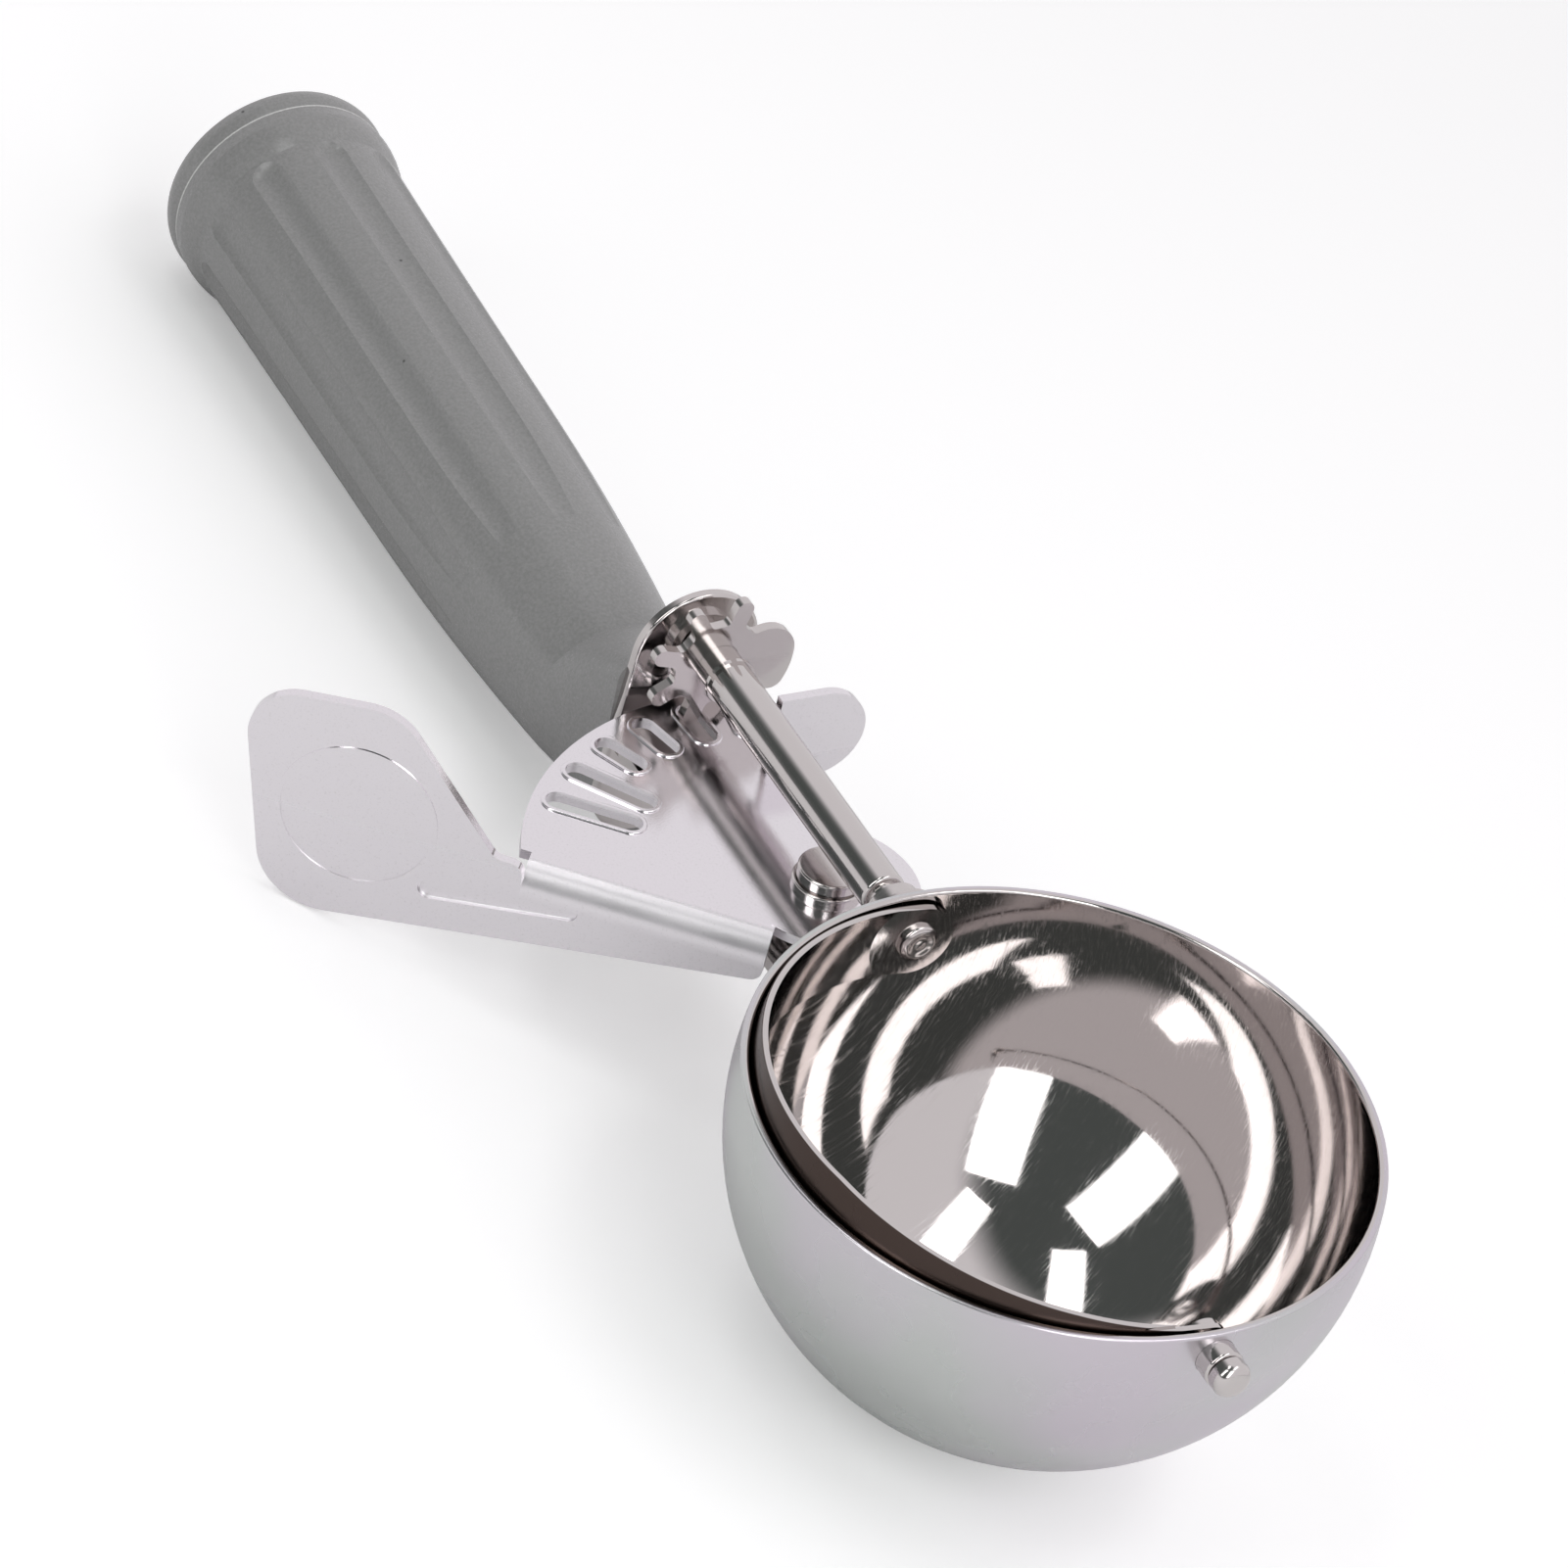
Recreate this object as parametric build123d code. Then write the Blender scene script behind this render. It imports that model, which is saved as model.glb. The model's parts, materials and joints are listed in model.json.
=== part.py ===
from build123d import *
from math import acos, atan2, cos, degrees, hypot, pi, radians, sin, sqrt
import os

# Ice cream scoop with a thumb lever, a toothed fan, a pinion and a sweeping scraper blade.
# Everything is drawn in the shaft's own frame, in mm: X runs along the scraper shaft from the
# handle to the bowl, Z points out of the open bowl, and the origin is the bowl's centre.
# At the end each piece is turned into the pose in which the scoop rests on a table.

# Bowl
BOWL_R = 35.0
BOWL_WALL = 1.0
RIM_HEIGHT = 4.2
RIM_TILT = 2.09
RIM_LEAN = 1.4
RIM_ROUNDING = 0.3

# Scraper blade, pins and shaft
BLADE_GAP = 0.3
BLADE_THICK = 0.7
BLADE_HALF_WIDTH = 4.4
BLADE_FRONT_HALF_WIDTH = 2.5
BLADE_NARROW_X = 8.0
BLADE_TIP_LENGTH = 5.0
BLADE_TIP_FLARE = 0.5
BLADE_REST_RISE = 6.8
EYE_INSET = 0.35
EYE_THICK = 0.85
FRONT_EYE_INSET = 0.4
FRONT_EYE_THICK = 0.7
EYE_RIVET_R = 1.2
EYE_RIVET_HEAD_R = 2.3
EYE_RIVET_HEAD_HEIGHT = 0.7
EYE_RIVET_ROUNDING = 0.4
EYE_RIVET_DEPTH = 4.6
PIN_R = 1.5
PIN_COLLAR_R = 2.3
PIN_COLLAR_LENGTH = 1.0
PIN_HEAD_R = 2.15
PIN_HEAD_GAP = 0.25
PIN_HEAD_ROUNDING = 1.1
PIN_REACH = 4.5
BUSH_REACH = 2.2
BUSH_R = 2.25
BUSH_ROUNDING = 0.4
SHAFT_R = 2.65
SHAFT_GAP = 5.2
SHAFT_LIP_R = 2.95
SHAFT_LIP_WIDTH = 0.5
SHAFT_ROUNDING = 0.5
NECK_R = 2.0
CORE_R = 1.8
CORE_END_GAP = 0.2
REAR_BUSH_R = 3.2
REAR_BUSH_FLANGE_R = 4.2
REAR_BUSH_LENGTH = 4.7
REAR_BUSH_FLANGE_THICK = 1.2
REAR_BUSH_SEAT = 0.1
FIT = 0.02
RUNNING_FIT = 0.03

# Thumb lever: a fan with slots, a bent-down flange and the thumb pad
PIVOT_GAP = 16.2
LEVER_THICK = 1.2
SLOT_COUNT = 6
SLOT_PHASE = 4.0
SLOT_OUTER_R = 32.4
SLOT_LONG_INNER_R = 21.2
SLOT_SHORT_INNER_R = 25.6
SLOT_WIDTH = 2.9
SLOT_RIM_WIDTH = 0.5
SLOT_RIM_HEIGHT = 0.2
FAN_RIM = 1.5
FAN_NEAR_ANGLE = -13.0
HEEL_R = 10.5
HEEL_ANGLE = 40.0
LEVER_EDGE_Y = 7.8
LEVER_EDGE_START = 7.0
EAR_AHEAD = 9.1
EAR_CENTRE = (9.1, -4.7)
EAR_INNER_Y = 3.4
EAR_R = 5.8
EAR_INNER_CORNER_R = 1.5
FLANGE_BACK = 0.8
FLANGE_Y = -21.0
FLANGE_ANGLE = 50.0
FLANGE_END = 13.0
FLANGE_END_HEIGHT = 1.8
FLANGE_END_ROUNDING = 1.5
BEND_R = 3.6
PAD_LOW_END = (-42.6, -21.4)
PAD_TOP_END = (-48.5, 6.7)
PAD_SHOULDER = (-31.1, 8.7)
PAD_LOW_CORNER_R = 7.5
PAD_TOP_CORNER_R = 6.0
PAD_SHOULDER_R = 6.8
NOTCH_WIDTH = 3.3
NOTCH_RISE = 0.5
NOTCH_R = 1.7
NOTCH_END_R = 1.5
RING_CENTRE = (-33.8, -6.3)
RING_R = 8.85
RING_WIDTH = 0.5
RING_HEIGHT = 0.12
RIB_START = (-24.6, -13.3)
RIB_END = (-9.2, -10.9)
RIB_WIDTH = 2.4
RIB_DEPTH = 0.45

# Pinion and its hub
MESH_INSET = 1.5
PINION_THICK = 1.2
PINION_TIP_R = 8.55
PINION_ROOT_R = 5.3
GULLET_R = 0.8
TOOTH_COUNT = 8
TOOTH_WIDTH = 2.1
TOOTH_ROOT_WIDTH = 2.2
LOBE_R = 9.5
LOBE_FROM = -35.0
LOBE_TO = 41.0
LOBE_LOW_CORNER_R = 1.6
LOBE_HIGH_CORNER_R = 3.6
HUB_R = 2.6
HUB_AHEAD = 2.8
HUB_BEHIND = 2.6

# Pivot of the lever
RIVET_HEAD_R = 3.7
RIVET_HEAD_HEIGHT = 1.3
RIVET_HEAD_ROUNDING = 0.3
RIVET_SHANK_R = 3.0
RIVET_FOOT_R = 4.2
RIVET_FOOT_HEIGHT = 1.3
RIVET_FOOT_ROUNDING = 0.8
WASHER_R = 3.4
WASHER_THICK = 0.25
SPACER_R = 4.2
STACK_GAP = 0.05
LEVER_BUSH_R = 3.6
LEVER_BUSH_FLANGE_R = 4.1
LEVER_BUSH_FLANGE_HEIGHT = 0.8
LEVER_BUSH_ROUNDING = 0.25

# Return spring
WIRE_D = 0.8
COIL_R = 5.3
COIL_PITCH = 1.3
COIL_QUARTERS = 9
LEG_LENGTH = 5.0
LEG_BEND_R = 1.2
LEG_HOLE_GAP = 0.3
LEG_HOLE_DEPTH = 0.8

# Frame
STRAP_TOP_Z = -13.0
STRAP_THICK = 1.6
STRAP_HALF_WIDTH = 8.0
SADDLE_THICK = 1.4
SADDLE_HALF_WIDTH = 9.0
SADDLE_TOP_Z = -9.5
SADDLE_LOW_Z = -23.0
SADDLE_FRONT = 9.0
END_PLATE_BEHIND = 4.2
END_PLATE_THICK = 1.1
END_PLATE_R = 7.7
END_PLATE_ARCH_Z = -1.7
END_PLATE_LOW_Z = -27.0
END_PLATE_LOW_HALF_WIDTH = 9.3
END_PLATE_CORNER_R = 6.0
END_PLATE_ROUNDING = 0.4
END_BUSH_R = 3.0
END_BUSH_FLANGE_R = 3.9
END_BUSH_FLANGE_THICK = 0.8

# Handle: its axis drops slightly towards the bowl, and places on it are measured from its middle
HANDLE_MID_BEHIND = 63.7
HANDLE_MID_Z = -18.4
HANDLE_SLOPE = -0.0344
HANDLE_STATIONS = (
    (-40.4, 13.4),
    (-20.0, 13.0),
    (0.0, 12.72),
    (20.0, 12.3),
    (35.0, 11.4),
    (48.0, 10.2),
)
FRONT_HALF_WIDTH = 8.7
FRONT_TOP_Z = -2.6
FRONT_LOW_Z = -28.6
FRONT_CORNER_R = 2.8
FRONT_LOW_CORNER_R = 7.5
COLLAR_R = 14.2
COLLAR_CROWN = -44.5
PARTING = -46.5
PARTING_STEP = 0.25
DOME_END = -55.4
FLAT_R = 4.5
CAP_BAND = 1.4
CAP_SHOULDER = (3.2, 0.45)
CAP_DOME = (6.8, 4.0)
FLUTE_COUNT = 10
FLUTE_R = 4.0
FLUTE_START = -37.7
FLUTE_START_FLOOR_R = 12.6
FLUTE_END = 30.0
FLUTE_END_FLOOR_R = 11.5
FLUTE_PHASE = 16.0
TANG_HALF_WIDTH = 5.0
TANG_THICK = 3.0
TANG_END = -15.0
TANG_ROOM = 0.1
TANG_ROOM_BEYOND = 0.3
TANG_PIN_R = 1.5
TANG_PIN_HALF_LENGTH = 9.0
TANG_PIN_PLACES = (38.0, 0.0)

# Worked out from the dimensions above
BOWL_INNER_R = BOWL_R - BOWL_WALL
BLADE_R = BOWL_INNER_R - BLADE_GAP
EYE_X = EYE_INSET - BLADE_R
FRONT_EYE_X = BLADE_R - FRONT_EYE_INSET
PIN_END_X = BOWL_R + PIN_REACH
BUSH_END_X = BOWL_R + BUSH_REACH
SHAFT_FRONT_X = -BOWL_R - SHAFT_GAP
PIVOT_X = -BOWL_R - PIVOT_GAP
PINION_X = PIVOT_X - SLOT_OUTER_R + MESH_INSET
PINION_FRONT_X = PINION_X + PINION_THICK / 2
PINION_REAR_X = PINION_X - PINION_THICK / 2
SHAFT_REAR_X = PINION_FRONT_X + HUB_AHEAD
END_PLATE_X = PINION_X - END_PLATE_BEHIND
END_PLATE_REAR_X = END_PLATE_X - END_PLATE_THICK
HANDLE_MID = Vector(END_PLATE_X - HANDLE_MID_BEHIND, 0, HANDLE_MID_Z)
HANDLE_AXIS = Vector(1, 0, HANDLE_SLOPE).normalized()
RATIO = 4
FAN_R = SLOT_OUTER_R + FAN_RIM
FAN_PITCH = 360 / TOOTH_COUNT / RATIO
TOOTH_PHASE = 270 - RATIO * SLOT_PHASE
PITCH_R = (PIVOT_X - PINION_X) / RATIO
LEVER_TOP_Z = -PITCH_R + LEVER_THICK / 2
LEVER_LOW_Z = -PITCH_R - LEVER_THICK / 2
EAR_X = PINION_X + EAR_AHEAD
BUSH_FLANGE_TOP_Z = LEVER_TOP_Z + LEVER_BUSH_FLANGE_HEIGHT
RIVET_HEAD_Z = BUSH_FLANGE_TOP_Z + STACK_GAP + WASHER_THICK
STRAP_LOW_Z = STRAP_TOP_Z - STRAP_THICK
BEND_Z = LEVER_TOP_Z - BEND_R
FLANGE_END_Z = BEND_Z - FLANGE_END_HEIGHT
FLANGE_PLANE = Plane(
    origin=(PIVOT_X - FLANGE_BACK, FLANGE_Y, 0),
    x_dir=(cos(radians(FLANGE_ANGLE)), sin(radians(FLANGE_ANGLE)), 0),
    z_dir=(sin(radians(FLANGE_ANGLE)), -cos(radians(FLANGE_ANGLE)), 0),
)
RIM_PLANE = Plane(
    origin=(0, 0, RIM_HEIGHT),
    x_dir=(cos(radians(RIM_TILT)), 0, -sin(radians(RIM_TILT))),
    z_dir=(sin(radians(RIM_TILT)), 0, cos(radians(RIM_TILT))),
)


def rod(radius, x_from, x_to):
    """A round bar along the shaft's axis."""
    bar = Cylinder(radius, abs(x_to - x_from), align=(Align.CENTER, Align.CENTER, Align.MIN))
    return cross_plane(min(x_from, x_to)) * bar


def bore(radius, x_from, x_to):
    """A cutter along the shaft's axis that goes 1 mm past both places."""
    return rod(radius, min(x_from, x_to) - 1, max(x_from, x_to) + 1)


def post(radius, z_from, z_to, x=PIVOT_X, y=0):
    """A round bar along Z, on the lever's pivot unless a place is given."""
    height = abs(z_to - z_from)
    bar = Cylinder(radius, height, align=(Align.CENTER, Align.CENTER, Align.MIN))
    return Pos(x, y, min(z_from, z_to)) * bar


def pivot_bore(radius):
    """A cutter on the lever's pivot through strap, lever and rivet."""
    return post(radius, STRAP_LOW_Z - 1, 0)


def slab(x_from, x_to, y_from, y_to, z_from, z_to):
    """A block between two corners."""
    block = Box(x_to - x_from, y_to - y_from, z_to - z_from, align=(Align.MIN,) * 3)
    return Pos(x_from, y_from, z_from) * block


def cross_plane(x):
    """Plane across the shaft, its local X along Y and its local Y upwards."""
    return Plane(origin=(x, 0, 0), x_dir=(0, 1, 0), z_dir=(1, 0, 0))


def handle_plane(place):
    """Plane across the handle at a place on its axis, turned as cross_plane."""
    return Plane(origin=HANDLE_MID + HANDLE_AXIS * place, x_dir=(0, 1, 0), z_dir=HANDLE_AXIS)


def turned(outline):
    """Solid of revolution about the handle's axis, from (place, radius)."""
    plane = Plane(origin=HANDLE_MID, x_dir=HANDLE_AXIS, z_dir=(0, -1, 0))
    return revolve(plane * make_face(outline), Axis(HANDLE_MID, HANDLE_AXIS))


def in_fan(radius, angle):
    """A point in the lever's plan, from the handle's direction towards the thumb."""
    turn = radians(angle)
    return (PIVOT_X - radius * cos(turn), -radius * sin(turn))


def bowl():
    shell = Sphere(BOWL_R) - Sphere(BOWL_INNER_R)
    above = Box(4 * BOWL_R, 4 * BOWL_R, 2 * BOWL_R, align=(Align.CENTER, Align.CENTER, Align.MIN))
    shell -= RIM_PLANE * above
    rim = [e for e in shell.edges() if abs(RIM_PLANE.to_local_coords(e.center()).Z) < 0.2]
    shell = Rot(X=-RIM_LEAN) * fillet(rim, RIM_ROUNDING)
    shell -= bore(BUSH_R + FIT, BOWL_INNER_R, BOWL_R)
    shell -= bore(REAR_BUSH_R + FIT, -BOWL_R, -BOWL_INNER_R)
    return shell


def front_bush():
    bush = rod(BUSH_R, BOWL_INNER_R, BUSH_END_X)
    bush = fillet(bush.edges().sort_by(Axis.X)[-1], BUSH_ROUNDING)
    return bush - bore(PIN_R + RUNNING_FIT, BOWL_INNER_R, BUSH_END_X)


def rear_bush():
    """Bush in the bowl's wall, its flange just outside the wall."""
    inner_end = REAR_BUSH_SEAT - BOWL_INNER_R
    outer_end = inner_end - REAR_BUSH_LENGTH
    bush = rod(REAR_BUSH_R, outer_end, inner_end)
    seat = -BOWL_R - REAR_BUSH_SEAT
    bush += rod(REAR_BUSH_FLANGE_R, seat - REAR_BUSH_FLANGE_THICK, seat)
    return bush - bore(NECK_R + RUNNING_FIT, outer_end, inner_end)


def blade_outline():
    """Width of the blade, seen from the bowl's centre, narrowing to the front eye."""
    back = BLADE_HALF_WIDTH
    front = BLADE_FRONT_HALF_WIDTH
    narrow_end = BOWL_R - BLADE_TIP_LENGTH
    flare = front + BLADE_TIP_FLARE
    outline = Polyline(
        (-BOWL_R, -back), (BLADE_NARROW_X, -back), (narrow_end, -flare), (BOWL_R, -front),
        (BOWL_R, front), (narrow_end, flare), (BLADE_NARROW_X, back), (-BOWL_R, back),
        close=True,
    )
    plane = Plane(origin=(0, 0, 0), x_dir=(1, 0, 0), z_dir=(0, -1, 0))
    return extrude(plane * make_face(outline), BOWL_R)


def scraper_blade():
    shell = Sphere(BLADE_R) - Sphere(BLADE_R - BLADE_THICK)
    strip = shell & blade_outline()
    rear_face = EYE_X + EYE_THICK
    front_face = FRONT_EYE_X - FRONT_EYE_THICK
    reach = 2 * BLADE_HALF_WIDTH
    strip -= slab(front_face, BOWL_R, -reach, reach, -reach, reach)
    strip -= slab(-BOWL_R, rear_face, -reach, reach, -reach, reach)
    strip += rod(BLADE_HALF_WIDTH, EYE_X, rear_face)
    strip += rod(BLADE_FRONT_HALF_WIDTH, front_face, FRONT_EYE_X)
    strip += eye_link(EYE_X, rear_face, BLADE_HALF_WIDTH)
    strip += eye_link(front_face, FRONT_EYE_X, BLADE_FRONT_HALF_WIDTH)
    strip -= bore(PIN_R + FIT, front_face, FRONT_EYE_X)
    strip -= bore(EYE_RIVET_R + FIT, EYE_X, rear_face)
    return Rot(X=-BLADE_REST_RISE) * strip


def eye_link(x_from, x_to, half_width):
    """The flat from an eye to where the blade starts to curve."""
    return slab(x_from, x_to, -2 * BLADE_HALF_WIDTH, 0, -half_width, half_width) & Sphere(BLADE_R)


def front_pivot_pin():
    """Pin with a collar inside the front eye and a riveted head outside the bush."""
    eye_face = FRONT_EYE_X - FRONT_EYE_THICK
    collar = rod(PIN_COLLAR_R, eye_face - PIN_COLLAR_LENGTH, eye_face)
    head = rod(PIN_HEAD_R, BUSH_END_X + PIN_HEAD_GAP, PIN_END_X)
    head = fillet(head.edges().sort_by(Axis.X)[-1], PIN_HEAD_ROUNDING)
    return collar + rod(PIN_R, eye_face - PIN_COLLAR_LENGTH, PIN_END_X - PIN_HEAD_ROUNDING) + head


def eye_rivet():
    eye_face = EYE_X + EYE_THICK
    head = rod(EYE_RIVET_HEAD_R, eye_face, eye_face + EYE_RIVET_HEAD_HEIGHT)
    head = fillet(head.edges().sort_by(Axis.X)[-1], EYE_RIVET_ROUNDING)
    return head + rod(EYE_RIVET_R, EYE_X - EYE_RIVET_DEPTH, eye_face)


def scraper_shaft():
    shaft = rod(SHAFT_R, SHAFT_REAR_X, SHAFT_FRONT_X)
    shaft = fillet(shaft.edges().sort_by(Axis.X)[-1], SHAFT_ROUNDING)
    shaft += rod(SHAFT_LIP_R, SHAFT_REAR_X, SHAFT_REAR_X + SHAFT_LIP_WIDTH)
    shaft += rod(NECK_R, SHAFT_FRONT_X, EYE_X)
    shaft += rod(CORE_R, END_PLATE_REAR_X + CORE_END_GAP, SHAFT_REAR_X)
    return shaft - rod(EYE_RIVET_R + FIT, EYE_X - EYE_RIVET_DEPTH - FIT, EYE_X)


def pinion_hub():
    hub_end = PINION_REAR_X - HUB_BEHIND
    hub = rod(HUB_R, hub_end, SHAFT_REAR_X)
    return hub - bore(CORE_R + FIT, hub_end, SHAFT_REAR_X)


def tooth(angle):
    """A pinion tooth that points along local +Y before its turn."""
    tip = TOOTH_WIDTH / 2
    root = TOOTH_ROOT_WIDTH / 2
    side = PINION_TIP_R - tip
    outline = Polyline((side, -tip), (0, -root), (0, root), (side, tip))
    crown = ThreePointArc((side, tip), (PINION_TIP_R, 0), (side, -tip))
    return Rot(Z=angle) * make_face(Curve() + [outline, crown])


def pinion():
    """Stamped wheel, drawn across the shaft; its gullets are rounded.

    Two of its teeth are left out, where the lobe takes their place.
    """
    wheel = Circle(PINION_ROOT_R) + uncut_lobe()
    for k in range(TOOTH_COUNT - 2):
        wheel += tooth(TOOTH_PHASE + 360 / TOOTH_COUNT * (1 - k))
    wheel = extrude(wheel, PINION_THICK)
    gullets = [e for e in wheel.edges().filter_by(Axis.Z) if at_root(e)]
    wheel = fillet(gullets, GULLET_R)
    return cross_plane(PINION_REAR_X) * wheel - bore(HUB_R + FIT, PINION_REAR_X, PINION_FRONT_X)


def at_root(edge):
    """An edge that stands on the pinion's root circle."""
    middle = edge.center()
    return abs(hypot(middle.X, middle.Y) - PINION_ROOT_R) < 0.1


def uncut_lobe():
    """Uncut metal on the side that never meets the fan, with two rounded corners."""
    reach = 2 * LOBE_R
    rays = [(reach * cos(radians(a)), reach * sin(radians(a))) for a in (LOBE_FROM, LOBE_TO)]
    lobe = Circle(LOBE_R) & make_face(Polyline((0, 0), *rays, close=True))
    low, high = [v for v in lobe.vertices().sort_by(Axis.Y) if v.center().length > LOBE_R / 2]
    lobe = fillet(low, LOBE_LOW_CORNER_R)
    high = lobe.vertices().sort_by_distance((high.X, high.Y, 0))[0]
    return fillet(high, LOBE_HIGH_CORNER_R)


def fan_meets(inset):
    """Where the fan's rim crosses the flange's line, moved inwards, measured along the flange."""
    start = FLANGE_PLANE.from_local_coords((0, 0, -inset)) - Vector(PIVOT_X, 0, 0)
    along = start.dot(FLANGE_PLANE.x_dir)
    return -along - sqrt(along ** 2 - start.dot(start) + FAN_R ** 2)


def on_flange(place, inset):
    """Plan point at a place along the flange, behind its outer face."""
    point = FLANGE_PLANE.from_local_coords((place, 0, -inset))
    return (point.X, point.Y)


def lever_plan():
    """The flat of the lever as one face: the fan and the heel round the pivot."""
    far = on_flange(fan_meets(BEND_R), BEND_R)
    far_angle = degrees(atan2(-far[1], PIVOT_X - far[0]))
    near = in_fan(FAN_R, FAN_NEAR_ANGLE)
    middle = in_fan(FAN_R, (far_angle + FAN_NEAR_ANGLE) / 2)
    arc = ThreePointArc(near, middle, far)
    heel = radians(HEEL_ANGLE)
    rest = Polyline(
        far,
        on_flange(FLANGE_END, BEND_R),
        (PIVOT_X + HEEL_R * cos(heel), -HEEL_R * sin(heel)),
        (PIVOT_X, 0),
        (PIVOT_X - LEVER_EDGE_START, LEVER_EDGE_Y),
        (EAR_X, LEVER_EDGE_Y),
        near,
    )
    return make_face(Curve() + [arc, rest]) + Pos(PIVOT_X, 0) * Circle(HEEL_R)


def slot_inner(k):
    """The two slots next to the thumb are longer than the rest."""
    return SLOT_LONG_INNER_R if k >= SLOT_COUNT - 2 else SLOT_SHORT_INNER_R


def slot_outline(k, width):
    """A round-ended slot along a ray of the fan, the k-th from the pinion's far side."""
    inner = slot_inner(k) + SLOT_WIDTH / 2
    outer = SLOT_OUTER_R - SLOT_WIDTH / 2
    angle = SLOT_PHASE + FAN_PITCH * (k - 1)
    x, y = in_fan((inner + outer) / 2, angle)
    return Pos(x, y) * Rot(Z=angle) * SlotCenterToCenter(outer - inner, width)


def slot_rim(k):
    """Coined rim round a slot, rounded on its outer edge."""
    outline = slot_outline(k, SLOT_WIDTH + 2 * SLOT_RIM_WIDTH)
    rim = extrude(Pos(0, 0, LEVER_TOP_Z - SLOT_RIM_HEIGHT) * outline, 2 * SLOT_RIM_HEIGHT)
    return fillet(rim.faces().sort_by(Axis.Z)[-1].edges(), 0.8 * SLOT_RIM_HEIGHT)


def lever_flat():
    plate = extrude(Pos(0, 0, LEVER_LOW_Z) * lever_plan(), LEVER_THICK)
    for k in range(SLOT_COUNT):
        plate += slot_rim(k)
    for k in range(SLOT_COUNT):
        hole = slot_outline(k, SLOT_WIDTH)
        plate -= extrude(Pos(0, 0, LEVER_LOW_Z - 1) * hole, LEVER_THICK + 3)
    return plate


def lever_bend():
    """Quarter bend between the flat and the flange."""
    start = fan_meets(0)
    plane = Plane(
        origin=FLANGE_PLANE.from_local_coords((start, BEND_Z, -BEND_R)),
        x_dir=FLANGE_PLANE.z_dir,
        z_dir=FLANGE_PLANE.x_dir,
    )
    section = Circle(BEND_R) - Circle(BEND_R - LEVER_THICK)
    section &= Pos(BEND_R / 2, -BEND_R / 2) * Rectangle(BEND_R, BEND_R)
    return extrude(plane * section, FLANGE_END - start)


def flange_face():
    """The bent-down flange and the thumb pad in one upright outline."""
    start = fan_meets(0)
    notch_z = LEVER_TOP_Z + NOTCH_RISE
    face = make_face(Polyline(
        PAD_LOW_END,
        PAD_TOP_END,
        PAD_SHOULDER,
        (start - NOTCH_WIDTH, notch_z),
        (start, notch_z),
        (start, BEND_Z),
        (FLANGE_END, BEND_Z),
        (FLANGE_END, FLANGE_END_Z),
        close=True,
    ))
    rounding = (
        (PAD_LOW_END, PAD_LOW_CORNER_R),
        (PAD_TOP_END, PAD_TOP_CORNER_R),
        (PAD_SHOULDER, PAD_SHOULDER_R),
        ((start - NOTCH_WIDTH, notch_z), NOTCH_R),
        ((start, notch_z), NOTCH_END_R),
        ((FLANGE_END, FLANGE_END_Z), FLANGE_END_ROUNDING),
    )
    for (x, y), radius in rounding:
        corner = face.vertices().sort_by_distance((x, y, 0))[0]
        face = fillet(corner, radius)
    return face


def flange():
    """Flange and pad with the pressed ring, and the rib pressed in from outside."""
    sheet = FLANGE_PLANE * extrude(flange_face(), -LEVER_THICK)
    ring = Circle(RING_R + RING_WIDTH / 2) - Circle(RING_R - RING_WIDTH / 2)
    sheet += FLANGE_PLANE * extrude(Pos(*RING_CENTRE) * ring, RING_HEIGHT)
    return sheet + rib(-LEVER_THICK - RIB_DEPTH) - rib(-RIB_DEPTH)


def rib(floor):
    """A bar as long as the rib, from its rounded floor outwards."""
    across = RIB_END[0] - RIB_START[0]
    rise = RIB_END[1] - RIB_START[1]
    outline = SlotCenterToCenter(hypot(across, rise), RIB_WIDTH)
    middle = ((RIB_START[0] + RIB_END[0]) / 2, (RIB_START[1] + RIB_END[1]) / 2)
    bar = extrude(outline, 2 * RIB_DEPTH)
    bar = fillet(bar.faces().sort_by(Axis.Z)[0].edges(), 0.7 * RIB_DEPTH)
    return FLANGE_PLANE * Pos(*middle, floor) * Rot(Z=degrees(atan2(rise, across))) * bar


def ear():
    """Round-ended upright tongue beside the shaft."""
    y, z = EAR_CENTRE
    tongue = Pos(y, z) * Circle(EAR_R)
    tongue += Pos((y + EAR_INNER_Y) / 2, z) * Rectangle(y - EAR_INNER_Y, 2 * EAR_R)
    inner = tongue.vertices().sort_by(Axis.X)[:2]
    tongue = fillet(inner, EAR_INNER_CORNER_R)
    return extrude(cross_plane(EAR_X - LEVER_THICK / 2) * tongue, LEVER_THICK)


def thumb_lever():
    lever = lever_flat() + lever_bend() + flange() + ear()
    lever -= pivot_bore(LEVER_BUSH_R + FIT)
    lever -= spring_holes(LEVER_LOW_Z - 1, LEVER_LOW_Z + LEG_HOLE_DEPTH, upper=True)
    return lever


def lever_bush():
    bush = post(LEVER_BUSH_R, LEVER_LOW_Z, LEVER_TOP_Z)
    flange_disc = post(LEVER_BUSH_FLANGE_R, LEVER_TOP_Z, BUSH_FLANGE_TOP_Z)
    bush += fillet(flange_disc.edges().sort_by(Axis.Z)[-1], LEVER_BUSH_ROUNDING)
    return bush - pivot_bore(RIVET_SHANK_R + RUNNING_FIT)


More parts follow.
